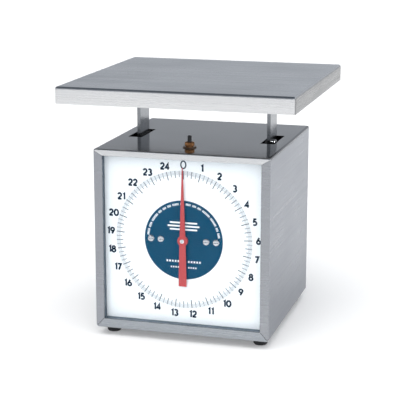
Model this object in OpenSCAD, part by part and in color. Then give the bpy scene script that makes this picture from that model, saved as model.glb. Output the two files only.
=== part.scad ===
// Mechanical dial platform scale: a spring scale with a square platform on two
// posts, a stainless box housing, and a rack-and-pinion dial movement.
// Millimetres, +Z up, front towards -Y, origin on the floor under the centre.

/* [Housing] */
// Width of the housing
body_w = 238; // [236:1:244]
// Depth of the housing
body_d = 244; // [242:1:250]
// Height of the housing without its feet
body_h = 244; // [240:1:248]
// Thickness of the housing sheet
sheet = 1.2; // [1:0.1:1.5]
// Height of the rubber feet
foot_h = 12; // [10:1:14]

/* [Platform] */
// Width of the platform
platform_w = 314; // [300:1:330]
// Depth of the platform
platform_d = 314; // [300:1:330]
// Height of the platform's skirt
platform_h = 22; // [20:1:26]
// Clear height between the housing and the platform
platform_gap = 63; // [60:1:70]

/* [Window and dial] */
// Width of the front flange beside the window
frame_side = 12; // [11:1:14]
// Height of the front flange above the window
frame_top = 9; // [8:1:11]
// Height of the front flange below the window
frame_bottom = 13; // [12:1:15]
// Distance from the front face back to the dial
dial_depth = 14; // [14:0.5:16]
// Length of the pointer from its axis to its tip
pointer_len = 98; // [80:1:100]
// Length of the pointer's tail
tail_len = 62; // [50:1:66]

/* [Movement] */
// Gear module of the rack and pinion
gear_module = 0.6; // [0.6:0.01:0.62]
// Teeth on the pinion
pinion_teeth = 12; // [12:1:12]

/* [Hidden] */
$fn = 48;
pi = 3.14159265;
eps = 0.01;

// Housing levels
front_y = -body_d / 2;
back_y = body_d / 2;
bottom_z = foot_h;
top_z = bottom_z + body_h;
window_x = body_w / 2 - frame_side;
window_z0 = bottom_z + frame_bottom;
window_z1 = top_z - frame_top;
dial_z = (window_z0 + window_z1) / 2 + 1.2;
bend_r = 3;
bottom_corner_r = 4;
seam = 0.15;
seam_drop = 3.2;

// Window, lens and dial
lens_t = 2.4;
lens_y = front_y + sheet + 0.1;
dial_y = front_y + dial_depth;
dial_t = 1;
dial_margin = 3;
gasket_lip = 1.5;
dial_screw_x = [31, 44.5];
frame_y = dial_y + 10;
frame_t = 2.5;

// Base, feet and their places
base_t = 3;
base_z = bottom_z + sheet;
deck_z = base_z + base_t;
foot_x = body_w / 2 - 16.7;
foot_y = body_d / 2 - 26;
foot_r = 9.5;

// Posts and the slots that they pass through
post_t = 4.8;
post_w = 38;
post_y = 4;
post_x = 91.4;
post_bottom_z = top_z - 54;
slot_w = 19.5;
slot_l = 63;
slot_x = 92.75;
slot_y = 2.5;

// Platform
platform_z0 = top_z + platform_gap;
platform_z1 = platform_z0 + platform_h;
pan_t = 1.5;
pad_t = 2;
spider_h = 13.5;
spider_t = 2;
spider_z1 = platform_z1 - pan_t - pad_t;
spider_z0 = spider_z1 - spider_h;
rail_x = 120;
rail_w = 22;
stud_y = 100;

// Rack and pinion: one turn of the pointer is full travel
pitch_r = gear_module * pinion_teeth / 2;
travel = 2 * pi * pitch_r;
pressure_angle = 25;
addendum = 0.8 * gear_module;
dedendum = 1.05 * gear_module;
backlash = 0.12;
spring_y = -79;
rack_y = spring_y - 6;
rack_w = 6;
rack_back_x = 9;
arbor_r = 2;

// Check linkage: level at half travel
plate_t = 3;
plate_out = post_x - post_t / 2;
plate_in = plate_out - plate_t;
link_t = 2.5;
link_out = plate_in - 0.8;
link_in = link_out - link_t;
ear_out = link_in - 0.8;
fulcrum_y = 92;
pin_y = -24;
link_len = fulcrum_y - pin_y;
link_rest = asin(travel / 2 / link_len);
upper_z = top_z - 45;
lower_z = bottom_z + 52;
pivot_r = 3;
pin_rise = travel / 2;

// Springs and the zero adjuster
spring_x = 38;
coil_r = 7;
wire_r = 1.4;
hanger_z = top_z - 28;
bar_hole_z = bottom_z + 46;
pin_x = 6.6;
pin_z = bottom_z + 42;
stud_r = 3;
bar_t = 3;

// ---------------------------------------------------------------- helpers

// A cylinder along +Y whose low end is at y
module rod_y(r, y, len) translate([0, y, 0]) rotate([-90, 0, 0]) cylinder(r = r, h = len);
// A cylinder along +X centred on x = 0
module rod_x(r, len) translate([-len / 2, 0, 0]) rotate([0, 90, 0]) cylinder(r = r, h = len);
// A rectangle with its four corners rounded
module round_rect(w, h, r) {
    square([w - 2 * r, h], center = true);
    square([w, h - 2 * r], center = true);
    for (sx = [-1, 1], sy = [-1, 1])
        translate([sx * (w / 2 - r), sy * (h / 2 - r)]) circle(r);
}
// Draws a 2D shape as (x, z) and gives it depth from y, towards +Y
module slab_y(y, t) translate([0, y + t, 0]) rotate([90, 0, 0]) linear_extrude(t) children();
// Draws a 2D shape as (y, z) and gives it width from x, towards +X
module slab_x(x, t) translate([x, 0, 0]) rotate([90, 0, 90]) linear_extrude(t) children();
// A box from its two corners
module block(a, b) translate(a) cube(b - a);
module both_sides() {
    children();
    mirror([1, 0, 0]) children();
}
// A slotted pan-head screw: the head's underside is at z = 0 and the shank goes down
module pan_screw(r, len, head_r, head_h) {
    translate([0, 0, -len]) cylinder(r = r, h = len + eps);
    difference() {
        union() {
            cylinder(r = head_r, h = head_h * 0.55);
            translate([0, 0, head_h * 0.55])
                cylinder(r1 = head_r, r2 = head_r * 0.72, h = head_h * 0.45);
        }
        translate([-head_r, -head_r * 0.16, head_h * 0.5]) cube([2 * head_r, head_r * 0.32, head_h]);
    }
}
// A hexagon-head screw, placed as the pan-head one is
module hex_screw(r, len, flats, head_h) {
    translate([0, 0, -len]) cylinder(r = r, h = len + eps);
    cylinder(r = flats / 2 / cos(30), h = head_h, $fn = 6);
}
// A retaining clip round a shaft of radius r, along X, with its mouth downwards
module clip_x(r, x) {
    slab_x(x, 0.8) difference() {
        circle(r + 2.2);
        circle(r + 0.05);
        translate([-r * 0.7, -r - 3]) square([r * 1.4, r + 3]);
    }
}

// ---------------------------------------------------------------- housing

// The housing's outer form, pulled in by inset on every side
module envelope(inset) {
    w = body_w - 2 * inset;
    d = body_d - 2 * inset;
    h = body_h - 2 * inset;
    r = bend_r - inset;
    r0 = bottom_corner_r - inset;
    translate([0, 0, bottom_z + body_h / 2]) slab_y(-d / 2, d) union() {
        translate([0, (r0 - r) / 2]) square([w, h - r0 - r], center = true);
        square([w - 2 * r0, h], center = true);
        translate([0, h / 2 - r]) square([w - 2 * r, 2 * r], center = true);
        for (side = [-1, 1]) {
            translate([side * (w / 2 - r), h / 2 - r]) circle(r);
            translate([side * (w / 2 - r0), r0 - h / 2]) circle(r0);
        }
    }
}
// Everything above the seam between the top cover and the wrap, mitred at the window's corners
module above_seam(drop) {
    slab_y(front_y - 5, body_d + 10) polygon([
        [-body_w, top_z + 5], [-body_w, top_z - seam_drop - drop],
        [-body_w / 2, top_z - seam_drop - drop], [-window_x, window_z1 - drop],
        [window_x, window_z1 - drop], [body_w / 2, top_z - seam_drop - drop],
        [body_w, top_z - seam_drop - drop], [body_w, top_z + 5]]);
}
module window_opening() {
    block([-window_x, front_y - 5, window_z0], [window_x, back_y + 5, window_z1]);
}
module shell() {
    difference() {
        envelope(0);
        envelope(sheet);
        window_opening();
    }
}
module at_feet(z) {
    for (sx = [-1, 1], sy = [-1, 1]) translate([sx * foot_x, sy * foot_y, z]) children();
}
module housing_wrap() {
    color("silver") difference() {
        shell();
        above_seam(seam);
        at_feet(bottom_z - 1) cylinder(r = 2.6, h = sheet + 2);
        at_cover_screws(back_y - 3) cylinder(r = 1.8, h = 6);
    }
}
module top_cover() {
    color("silver") {
        difference() {
            intersection() {
                shell();
                above_seam(0);
            }
            for (side = [-1, 1]) translate([side * slot_x, slot_y, top_z - 5])
                linear_extrude(10) square([slot_w, slot_l], center = true);
            translate([0, spring_y, top_z - 5]) cylinder(r = stud_r + 0.6, h = 10);
            at_cover_screws(back_y - 3) cylinder(r = 1.8, h = 6);
        }
        // Side lips that sit inside the walls
        both_sides() block([body_w / 2 - sheet - 1.1, -105, top_z - sheet - 12],
                           [body_w / 2 - sheet - 0.1, 105, top_z - sheet + eps]);
    }
}
cover_w = 2 * window_x + 12;
cover_h = window_z1 - window_z0 + 10;
module at_cover_screws(y) {
    for (p = [[-1, -1], [1, -1], [-1, 0], [1, 0], [-1, 1], [1, 1]])
        translate([p[0] * (window_x + 3.5), y, dial_z + p[1] * 96]) rotate([-90, 0, 0]) children();
}
module rear_cover() {
    color("silver") difference() {
        translate([0, 0, dial_z]) slab_y(back_y, sheet) round_rect(cover_w, cover_h, 4);
        at_cover_screws(back_y - 1) cylinder(r = 1.8, h = sheet + 2);
    }
}
module rear_cover_screws() {
    color("gainsboro") at_cover_screws(back_y + sheet) pan_screw(1.7, 6, 3, 1.8);
}
module lens() {
    color("lightcyan", 0.3) block([-window_x - 6, lens_y, window_z0 - 6],
                                  [window_x + 6, lens_y + lens_t, window_z1 + 5]);
}
module lens_gasket() {
    y = lens_y + lens_t;
    color("dimgray") difference() {
        block([-window_x - 8.5, y, window_z0 - 9], [window_x + 8.5, dial_y - 0.2, window_z1 + 7]);
        block([-window_x - gasket_lip, y - 1, window_z0 - gasket_lip],
              [window_x + gasket_lip, dial_y, window_z1 + gasket_lip]);
    }
}
module lens_clips() {
    wall_x = body_w / 2 - sheet;
    color("silver") both_sides() for (z = [dial_z - 70, dial_z + 70]) {
        block([wall_x - 1, dial_y - 0.1, z - 6], [wall_x, dial_y + 16, z + 6]);
        block([window_x + dial_margin + 1, dial_y - 0.1, z - 6], [wall_x, dial_y + 0.9, z + 6]);
    }
}

// ---------------------------------------------------------------- dial

module at_dial_screws() {
    for (side = [-1, 1], x = dial_screw_x) translate([side * x, 0, dial_z]) children();
}
module dial_plate() {
    color("white") difference() {
        block([-window_x - dial_margin, dial_y, window_z0 - dial_margin],
              [window_x + dial_margin, dial_y + dial_t, window_z1 + dial_margin]);
        translate([0, 0, dial_z]) rod_y(5, dial_y - 1, dial_t + 2);
        at_dial_screws() rod_y(2.5, dial_y - 1, dial_t + 2);
    }
}
module dial_screws() {
    color("gainsboro") at_dial_screws() translate([0, dial_y, 0])
        rotate([90, 90, 0]) pan_screw(2.4, 12, 4.3, 2.4);
}
module dial_spacers() {
    color("goldenrod") at_dial_screws() difference() {
        rod_y(4, dial_y + dial_t, frame_y - dial_y - dial_t);
        rod_y(2.5, dial_y, frame_y - dial_y + 1);
    }
}

// ---------------------------------------------------------------- base and feet

module base_plate() {
    color("slategray") difference() {
        block([-108.5, front_y + 18, base_z], [108.5, back_y - 8, deck_z]);
        at_feet(base_z - 1) cylinder(r = 2.6, h = base_t + 2);
        at_frame_feet(base_z - 1) cylinder(r = 2.1, h = base_t + 2);
        for (side = [-1, 1]) translate([side * stop_x, stop_y, base_z - 1])
            cylinder(r = 2.6, h = base_t + 2);
    }
}
module foot(sx, sy) {
    color("black") translate([sx * foot_x, sy * foot_y, 0]) difference() {
        rotate_extrude() union() {
            square([foot_r - 2.5, foot_h]);
            translate([0, 2.5]) square([foot_r, foot_h - 2.5]);
            translate([foot_r - 2.5, 2.5]) circle(2.5, $fn = 32);
        }
        translate([0, 0, -1]) cylinder(r = 2.6, h = foot_h + 2);
        translate([0, 0, -1]) cylinder(r = 5, h = 5);
    }
}
module foot_front_left() foot(-1, -1);
module foot_front_right() foot(1, -1);
module foot_rear_left() foot(-1, 1);
module foot_rear_right() foot(1, 1);
module foot_screws() {
    color("silver") at_feet(4) {
        rotate([180, 0, 0]) pan_screw(2.5, deck_z - 4 + 4.5, 4.4, 2.6);
        translate([0, 0, deck_z - 4]) difference() {
            cylinder(r = 4.6, h = 4, $fn = 6);
            translate([0, 0, -1]) cylinder(r = 2.55, h = 6);
        }
    }
}

// ---------------------------------------------------------------- fixed frame

front_half = 60;
bridge_leg = [-24, 26];
module at_frame_feet(z) {
    for (side = [-1, 1]) {
        translate([side * 45, frame_y + 18, z]) children();
        translate([side * 60, fulcrum_y - 2, z]) children();
    }
}
module front_frame() {
    flange = 36;
    top = top_z - sheet - 0.1;
    color("lightsteelblue") difference() {
        union() {
            block([-front_half, frame_y, deck_z], [front_half, frame_y + frame_t, top]);
            block([-front_half, frame_y, deck_z], [front_half, frame_y + flange, deck_z + frame_t]);
            block([-front_half, frame_y, top - frame_t], [front_half, frame_y + flange, top]);
            both_sides() block([front_half - frame_t, frame_y, deck_z], [front_half, frame_y + 14, top]);
        }
        translate([0, 0, dial_z]) rod_y(4.5, frame_y - 1, frame_t + 2);
        at_dial_screws() rod_y(2.45, frame_y - 1, frame_t + 2);
        translate([0, spring_y, top - 10]) cylinder(r = stud_r + 0.4, h = 20);
        at_frame_feet(deck_z - 1) cylinder(r = 2.1, h = frame_t + 2);
        at_bridge_screws() rod_y(1.6, frame_y - 1, frame_t + 2);
        translate([12, 0, dial_z]) rod_y(1.6, frame_y - 1, frame_t + 2);
        // Large cut-outs that lighten the plate above and below the movement
        block([-28, frame_y - 1, dial_z + 34], [28, frame_y + frame_t + 1, dial_z + 86]);
        block([-28, frame_y - 1, dial_z - 92], [28, frame_y + frame_t + 1, dial_z - 34]);
    }
}
module rear_frame() {
    y1 = back_y - 8;
    top = top_z - 12;
    color("lightsteelblue") difference() {
        union() {
            block([-ear_out, y1 - frame_t, deck_z], [ear_out, y1, top]);
            both_sides() block([ear_out - frame_t, fulcrum_y - 9, deck_z], [ear_out, y1, top]);
            block([-ear_out, fulcrum_y - 9, deck_z], [ear_out, y1, deck_z + frame_t]);
        }
        for (z = [upper_z, lower_z]) translate([0, fulcrum_y, z]) rod_x(pivot_r + 0.05, 2 * ear_out + 2);
        at_frame_feet(deck_z - 1) cylinder(r = 2.1, h = frame_t + 2);
        block([-50, y1 - frame_t - 1, lower_z + 28], [50, y1 + 1, upper_z - 25]);
    }
}
module frame_screws() {
    color("silver") at_frame_feet(deck_z + frame_t) hex_screw(2, 5, 7, 2.8);
}
stop_x = (plate_in + plate_out) / 2;
stop_y = -62;
carriage_low_z = bottom_z + 30;
module overload_stops() {
    head = carriage_low_z - travel - 0.5 - deck_z;
    color("silver") for (side = [-1, 1]) translate([side * stop_x, stop_y, deck_z])
        hex_screw(2.5, 3, 8, head);
}

// ---------------------------------------------------------------- pinion and its bearings

bridge_y = spring_y + 7;
module at_bridge_screws() {
    for (x = [bridge_leg[0] - 5, bridge_leg[1] + 7]) translate([x, 0, dial_z + 10]) children();
}
module pinion_bridge() {
    back = frame_y + frame_t;
    x0 = bridge_leg[0];
    x1 = bridge_leg[1];
    color("khaki") difference() {
        union() {
            block([x0, bridge_y, dial_z - 10], [x1 + 2, bridge_y + 2, dial_z + 10]);
            block([x0, back, dial_z - 10], [x0 + 2, bridge_y + 2, dial_z + 16]);
            block([x1, back, dial_z - 10], [x1 + 2, bridge_y + 2, dial_z + 16]);
            block([x0 - 10, back, dial_z + 4], [x0 + 2, back + 2, dial_z + 16]);
            block([x1, back, dial_z + 4], [x1 + 12, back + 2, dial_z + 16]);
        }
        translate([0, 0, dial_z]) rod_y(4, bridge_y - 1, 4);
        at_bridge_screws() rod_y(1.6, back - 1, 4);
    }
}
module bridge_screws() {
    color("silver") at_bridge_screws() translate([0, frame_y + frame_t + 2, 0])
        rotate([-90, 0, 0]) pan_screw(1.5, 4, 2.8, 1.6);
}
module bush(y, len, r, flange_y) {
    translate([0, 0, dial_z]) difference() {
        union() {
            rod_y(r, y, len);
            rod_y(r + 1.6, flange_y, 1);
        }
        rod_y(arbor_r + 0.05, y - 2, len + 4);
    }
}
module front_bush() color("gold") bush(frame_y, frame_t, 4.45, frame_y - 1);
module rear_bush() color("gold") bush(bridge_y, 2, 3.95, bridge_y + 2);

function inv(a) = tan(a) - a * pi / 180;
base_r = pitch_r * cos(pressure_angle);
half_tooth = (pi * gear_module / 2 - backlash) / 2 / pitch_r * 180 / pi;
// Half the tooth's angle at radius r: involute above the base circle, radial below it
function flank(r) = half_tooth
    + (inv(pressure_angle) - inv(r > base_r ? acos(base_r / r) : 0)) * 180 / pi;
root_r = pitch_r - dedendum;
tip_r = pitch_r + addendum;
flank_radii = [root_r, base_r, pitch_r - 0.1, pitch_r + 0.2, tip_r];
function tooth(turn) = concat(
    [for (r = flank_radii) [r * cos(turn - flank(r)), r * sin(turn - flank(r))]],
    [for (i = [4:-1:0]) let (r = flank_radii[i]) [r * cos(turn + flank(r)), r * sin(turn + flank(r))]]);

arbor_front = dial_y - 7.5;
module pinion_shaft() {
    color("lightgray") translate([0, 0, dial_z]) {
        slab_y(rack_y - rack_w / 2 - 1, rack_w + 2)
            polygon([for (i = [0:pinion_teeth - 1]) each tooth(i * 360 / pinion_teeth)]);
        rod_y(arbor_r, arbor_front, bridge_y + 5 - arbor_front);
        rod_y(3.2, frame_y + frame_t + 0.2, rack_y - rack_w / 2 - 1 - frame_y - frame_t);
    }
}
module rack() {
    pitch = pi * gear_module;
    // Half-widths of a rack tooth at its tip and root
    tip = (pitch / 2 - backlash) / 2 - addendum * tan(pressure_angle);
    root = (pitch / 2 - backlash) / 2 + dedendum * tan(pressure_angle);
    count = ceil((travel + 14) / pitch);
    z_first = dial_z - 7.5 * pitch / 2 - pitch / 4;
    first = floor(-7 / pitch);
    color("lightgray") difference() {
        slab_y(rack_y - rack_w / 2, rack_w) union() {
            translate([pitch_r + dedendum, pin_z - 5])
                square([rack_back_x - pitch_r - dedendum, travel + dial_z + 14 - pin_z]);
            for (i = [first:first + count]) translate([pitch_r, dial_z + (i + 0.5) * pitch]) polygon([
                [-addendum, -tip], [dedendum + eps, -root], [dedendum + eps, root], [-addendum, tip]]);
        }
        translate([pin_x, 0, pin_z]) rod_y(1.55, rack_y - rack_w, 2 * rack_w);
    }
}
module rack_pin() {
    color("silver") translate([pin_x, 0, pin_z]) {
        rod_y(1.5, rack_y - rack_w / 2 - 1, spring_y + 4 - rack_y + rack_w / 2 + 1);
        rod_y(2.8, rack_y - rack_w / 2 - 1.2, 1.1);
    }
}
module rack_guide() {
    color("ivory") {
        block([rack_back_x + 0.15, frame_y + frame_t, dial_z - 9], [rack_back_x + 6, rack_y + 3, dial_z + 9]);
        translate([12, 0, dial_z]) rod_y(1.5, frame_y, frame_t + 1);
    }
}
pointer_y = dial_y - 5;
module pointer() {
    color("crimson") difference() {
        union() {
            slab_y(pointer_y - 0.4, 0.8) polygon([
                [-4, dial_z], [-0.5, dial_z + pointer_len], [0.5, dial_z + pointer_len], [4, dial_z],
                [5.5, dial_z - tail_len], [-5.5, dial_z - tail_len]]);
            translate([0, 0, dial_z]) rod_y(7, pointer_y - 0.8, 3);
        }
        translate([0, 0, dial_z]) rod_y(arbor_r + 0.02, pointer_y - 3, 8);
    }
}
module pointer_nut() {
    color("silver") translate([0, 0, dial_z]) difference() {
        rod_y(3, pointer_y - 2.6, 1.8);
        rod_y(arbor_r + 0.02, pointer_y - 5, 6);
    }
}

// ---------------------------------------------------------------- check links

// An H-shaped link from the fulcrum to the carriage pin, drawn level and turned to its rest angle
module check_link(z) {
    reach = 2 * link_len / (1 + cos(link_rest));
    color("lightsteelblue") translate([0, fulcrum_y, z]) rotate([-link_rest, 0, 0]) {
        both_sides() difference() {
            slab_x(link_in, link_t) union() {
                circle(8);
                translate([-reach, 0]) circle(8);
                translate([-reach, -6]) square([reach, 12]);
            }
            rod_x(pivot_r + 0.05, 4 * link_out);
            translate([0, -reach, 0]) rod_x(pivot_r + 0.45, 4 * link_out);
        }
        block([-link_in, -52, -1.25], [link_in, -26, 1.25]);
    }
}
module upper_check_link() check_link(upper_z);
module lower_check_link() check_link(lower_z);
module fulcrum_shafts() {
    color("silver") for (z = [upper_z, lower_z])
        translate([0, fulcrum_y, z]) rod_x(pivot_r, 2 * link_out + 4);
}
module fulcrum_clips() {
    color("dimgray") both_sides() for (z = [upper_z, lower_z])
        translate([0, fulcrum_y, z]) clip_x(pivot_r, link_out + 0.3);
}
module carriage_shafts() {
    color("silver") for (z = [upper_z, lower_z])
        translate([0, pin_y, z + pin_rise]) rod_x(pivot_r, 2 * plate_out + 5);
}
module carriage_clips() {
    color("dimgray") both_sides() for (z = [upper_z, lower_z])
        translate([0, pin_y, z + pin_rise]) clip_x(pivot_r, plate_out + 0.3);
}

// ---------------------------------------------------------------- carriage

post_screw_z = [top_z - 3, post_bottom_z + 5];
plate_top_z = top_z - 0.3;
bridge_z = top_z - 14;
module at_post_screws(x) {
    for (side = [-1, 1], z = post_screw_z)
        translate([side * x, post_y, z]) rotate([0, side * 90, 0]) children();
}
module carriage_plate(side) {
    back = post_y + post_w / 2;
    x = side > 0 ? plate_in : -plate_out;
    color("lightsteelblue") difference() {
        slab_x(x, plate_t) polygon([
            [pin_y - 12, upper_z + 28], [post_y - post_w / 2, plate_top_z], [back, plate_top_z],
            [back, post_bottom_z], [-2, post_bottom_z - 28], [-2, lower_z], [-16, carriage_low_z],
            [-88, carriage_low_z], [-88, lower_z], [-50, lower_z + 6], [pin_y - 12, lower_z + 30]]);
        for (z = [upper_z, lower_z]) translate([0, pin_y, z + pin_rise]) rod_x(pivot_r + 0.02, 3 * plate_out);
        for (z = post_screw_z) translate([0, post_y, z]) rod_x(2.05, 3 * plate_out);
        at_carriage_screws() translate([0, 0, -10]) cylinder(r = 1.55, h = 20);
    }
}
module carriage_plate_left() carriage_plate(-1);
module carriage_plate_right() carriage_plate(1);
// The screws that hold the bridge and the spring bar, put in from inside
module at_carriage_screws() {
    for (side = [-1, 1], p = [[spring_y - 5, pin_z], [spring_y + 5, pin_z],
                              [post_y - 9, bridge_z + 5.5], [post_y + 9, bridge_z + 5.5]])
        translate([side * (plate_in - 2), p[0], p[1]]) rotate([0, -side * 90, 0]) children();
}
module carriage_screws() {
    color("silver") at_carriage_screws() pan_screw(1.5, 2 + plate_t, 2.8, 1.7);
}
module carriage_bridge() {
    z = bridge_z;
    color("lightsteelblue") difference() {
        union() {
            block([-plate_in, post_y - 14, z], [plate_in, post_y + 14, z + 2.5]);
            for (y = [-14, 12]) block([-plate_in, post_y + y, z - 7], [plate_in, post_y + y + 2, z + 1]);
            both_sides() block([plate_in - 2, post_y - 14, z], [plate_in, post_y + 14, z + 9]);
        }
        translate([0, post_y, z - 1]) cylinder(r = 2.55, h = 6);
        at_carriage_screws() translate([0, 0, -10]) cylinder(r = 1.55, h = 20);
    }
}
module spring_bar() {
    z0 = bar_hole_z - 12;
    color("lightsteelblue") difference() {
        union() {
            block([-plate_in, spring_y - bar_t / 2, z0], [plate_in, spring_y + bar_t / 2, z0 + 16]);
            both_sides() block([plate_in - 2, spring_y - 9, z0], [plate_in, spring_y + 9, z0 + 16]);
        }
        for (side = [-1, 1]) translate([side * spring_x, 0, bar_hole_z]) rod_y(2.1, spring_y - 5, 10);
        translate([pin_x, 0, pin_z]) rod_y(1.55, spring_y - 5, 10);
        at_carriage_screws() translate([0, 0, -10]) cylinder(r = 1.55, h = 20);
    }
}
module post_left() mirror([1, 0, 0]) post_right();
module post_right() {
    x0 = post_x - post_t / 2;
    x1 = post_x + post_t / 2;
    z1 = spider_z1 - spider_t;
    r = 7;
    color("silver") difference() {
        translate([0, post_y - post_w / 2, 0]) slab_y(0, post_w) union() {
            translate([x0, post_bottom_z]) square([post_t, z1 - r - post_bottom_z]);
            translate([60, z1 - post_t]) square([x1 - r - 60, post_t]);
            translate([x1 - r, z1 - r]) intersection() {
                difference() {
                    circle(r);
                    circle(r - post_t);
                }
                square(r);
            }
        }
        for (z = post_screw_z) translate([0, post_y, z]) rod_x(2.05, 3 * x1);
        at_post_feet(z1 - 10) cylinder(r = 2.1, h = 20);
    }
}
module at_post_feet(z) {
    for (side = [-1, 1], y = [-11, 11]) translate([side * 70, post_y + y, z]) children();
}
module post_foot_screws() {
    z1 = spider_z1 - spider_t;
    color("gainsboro") at_post_feet(z1 - post_t) rotate([180, 0, 0])
        pan_screw(2, post_t + spider_t, 3.6, 2.2);
}
module post_screws() {
    color("gainsboro") at_post_screws(post_x + post_t / 2) pan_screw(2, post_t + plate_t + 0.5, 3.6, 4.4);
}
module at_studs(z) {
    for (side = [-1, 1], y = [-stud_y, stud_y]) translate([side * rail_x, y, z]) children();
}
module platform_spider() {
    z = spider_z0;
    t = spider_t;
    color("lightsteelblue") difference() {
        union() {
            translate([0, post_y, 0]) {
                block([-rail_x, -22, spider_z1 - t], [rail_x, 22, spider_z1]);
                for (y = [-22, 20]) block([-rail_x, y, z], [rail_x, y + 2, spider_z1]);
            }
            both_sides() translate([rail_x, 0, 0]) difference() {
                block([-rail_w / 2, -118, z], [rail_w / 2, 118, spider_z1]);
                block([-rail_w / 2 + t, -130, z - 1], [rail_w / 2 - t, 130, spider_z1 - t]);
            }
        }
        at_studs(z - 1) cylinder(r = 2.6, h = 30);
        at_post_feet(z) cylinder(r = 2.1, h = 30);
    }
}
module platform_pads() {
    color("dimgray") at_studs(spider_z1) difference() {
        cylinder(r = 10, h = pad_t);
        translate([0, 0, -1]) cylinder(r = 2.6, h = pad_t + 2);
    }
}
module platform_nuts() {
    color("silver") at_studs(spider_z1 - spider_t - 4) difference() {
        cylinder(r = 4.6, h = 4, $fn = 6);
        translate([0, 0, -1]) cylinder(r = 2.52, h = 6);
    }
}
// The platform's outer form, pulled in by inset at its sides and top
module pan_form(inset) {
    r = bend_r - inset;
    w = platform_w - 2 * inset;
    d = platform_d - 2 * inset;
    h = platform_h - inset + 10;
    mid = [0, 0, platform_z0 - 10 + h / 2];
    intersection() {
        translate([0, 0, platform_z0 - 10]) linear_extrude(h) round_rect(w, d, r);
        translate(mid) slab_x(-w / 2, w) round_rect(d, h, r);
        translate(mid) slab_y(-d / 2, d) round_rect(w, h, r);
    }
}
module platform_pan() {
    color("silver") {
        difference() {
            pan_form(0);
            pan_form(pan_t);
            block([-platform_w, -platform_d, platform_z0 - 20], [platform_w, platform_d, platform_z0]);
        }
        at_studs(spider_z1 - spider_t - 6) cylinder(r = 2.5, h = spider_t + pad_t + 6 + eps);
    }
}

// ---------------------------------------------------------------- springs and zero adjuster

module torus_arc(ring_r, from, to) {
    rotate([90, 0, 90]) rotate([0, 0, from]) rotate_extrude(angle = to - from)
        translate([ring_r, 0]) circle(wire_r, $fn = 24);
}
// A close-wound extension spring: a grooved tube of turns, with a half hook at each end
module main_spring(side) {
    top = hanger_z - coil_r;
    low = bar_hole_z + coil_r;
    turns = floor((top - low) / (2 * wire_r));
    step = (top - low) / turns;
    inner = coil_r - wire_r;
    outer = coil_r + wire_r;
    color("dimgray") translate([side * spring_x, spring_y, 0]) {
        rotate_extrude() polygon([
            [inner, low - wire_r], [outer, low - wire_r],
            for (i = [0:turns - 1]) each [
                [outer, low + (i + 0.3) * step],
                [outer - 0.5 * wire_r, low + (i + 0.5) * step],
                [outer, low + (i + 0.7) * step]],
            [outer, top + wire_r], [inner, top + wire_r]]);
        translate([0, 0, top]) torus_arc(coil_r, -5, 185);
        translate([0, 0, low]) torus_arc(coil_r, 175, 365);
    }
}
module main_spring_left() main_spring(-1);
module main_spring_right() main_spring(1);
module spring_hanger() {
    color("lightsteelblue") difference() {
        union() {
            block([-48, spring_y - bar_t / 2, hanger_z - 4], [48, spring_y + bar_t / 2, hanger_z + 10]);
            block([-7, spring_y - 7, hanger_z - 4], [7, spring_y + 7, hanger_z + 10]);
        }
        for (side = [-1, 1]) translate([side * spring_x, 0, hanger_z]) rod_y(2.1, spring_y - 5, 10);
        translate([0, spring_y, hanger_z - 6]) cylinder(r = stud_r + 0.02, h = 30);
    }
}
module zero_stud() {
    color("dimgray") translate([0, spring_y, hanger_z - 4]) {
        cylinder(r = stud_r, h = top_z + 15 - hanger_z + 4);
        translate([0, 0, top_z + 15 - hanger_z + 4]) cylinder(r1 = stud_r, r2 = stud_r - 0.8, h = 0.8);
    }
}
module zero_washer() {
    color("gray") translate([0, spring_y, top_z]) difference() {
        cylinder(r = 9, h = 1.2);
        translate([0, 0, -1]) cylinder(r = stud_r + 0.3, h = 4);
    }
}
nut_h = 6.4;
module zero_nut() {
    color("peru") translate([0, spring_y, top_z + 1.2]) difference() {
        union() {
            cylinder(r = 5, h = 1);
            translate([0, 0, 1]) cylinder(r = 6.4, h = nut_h - 1.8);
            translate([0, 0, nut_h - 0.8]) cylinder(r1 = 6.4, r2 = 5.4, h = 0.8);
        }
        translate([0, 0, -1]) cylinder(r = stud_r + 0.05, h = nut_h + 2);
    }
}

// ---------------------------------------------------------------- dashpot

dash_r = 16;
dash_wall = 1.5;
dash_top = deck_z + 84;
module dashpot_cylinder() {
    color("gainsboro") translate([0, post_y, deck_z]) difference() {
        union() {
            cylinder(r = dash_r, h = 84);
            cylinder(r = dash_r + 5, h = 2);
        }
        translate([0, 0, 2.5]) cylinder(r = dash_r - dash_wall, h = 84);
    }
}
module dashpot_cap() {
    color("dimgray") translate([0, post_y, dash_top]) difference() {
        union() {
            cylinder(r = dash_r + 1, h = 3);
            translate([0, 0, -4]) cylinder(r = dash_r - dash_wall - 0.05, h = 4 + eps);
        }
        translate([0, 0, -5]) cylinder(r = 3, h = 10);
    }
}
piston_z = dash_top - 24;
module dashpot_rod() {
    color("silver") translate([0, post_y, 0]) {
        translate([0, 0, piston_z - 2]) cylinder(r = 2.5, h = bridge_z + 3 - piston_z + 2);
        translate([0, 0, piston_z - 2]) cylinder(r = 3.6, h = 2);
        translate([0, 0, piston_z + 7]) cylinder(r = 2.8, h = 1.5);
        translate([0, 0, bridge_z - 3]) cylinder(r = 4.5, h = 3);
        translate([0, 0, bridge_z + 2.5]) cylinder(r = 3.6, h = 1.6);
    }
}
module dashpot_piston() {
    color("goldenrod") translate([0, post_y, piston_z]) difference() {
        cylinder(r = dash_r - dash_wall - 0.3, h = 7);
        translate([0, 0, -1]) cylinder(r = 2.52, h = 9);
    }
}

// ---------------------------------------------------------------- nodes

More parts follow.
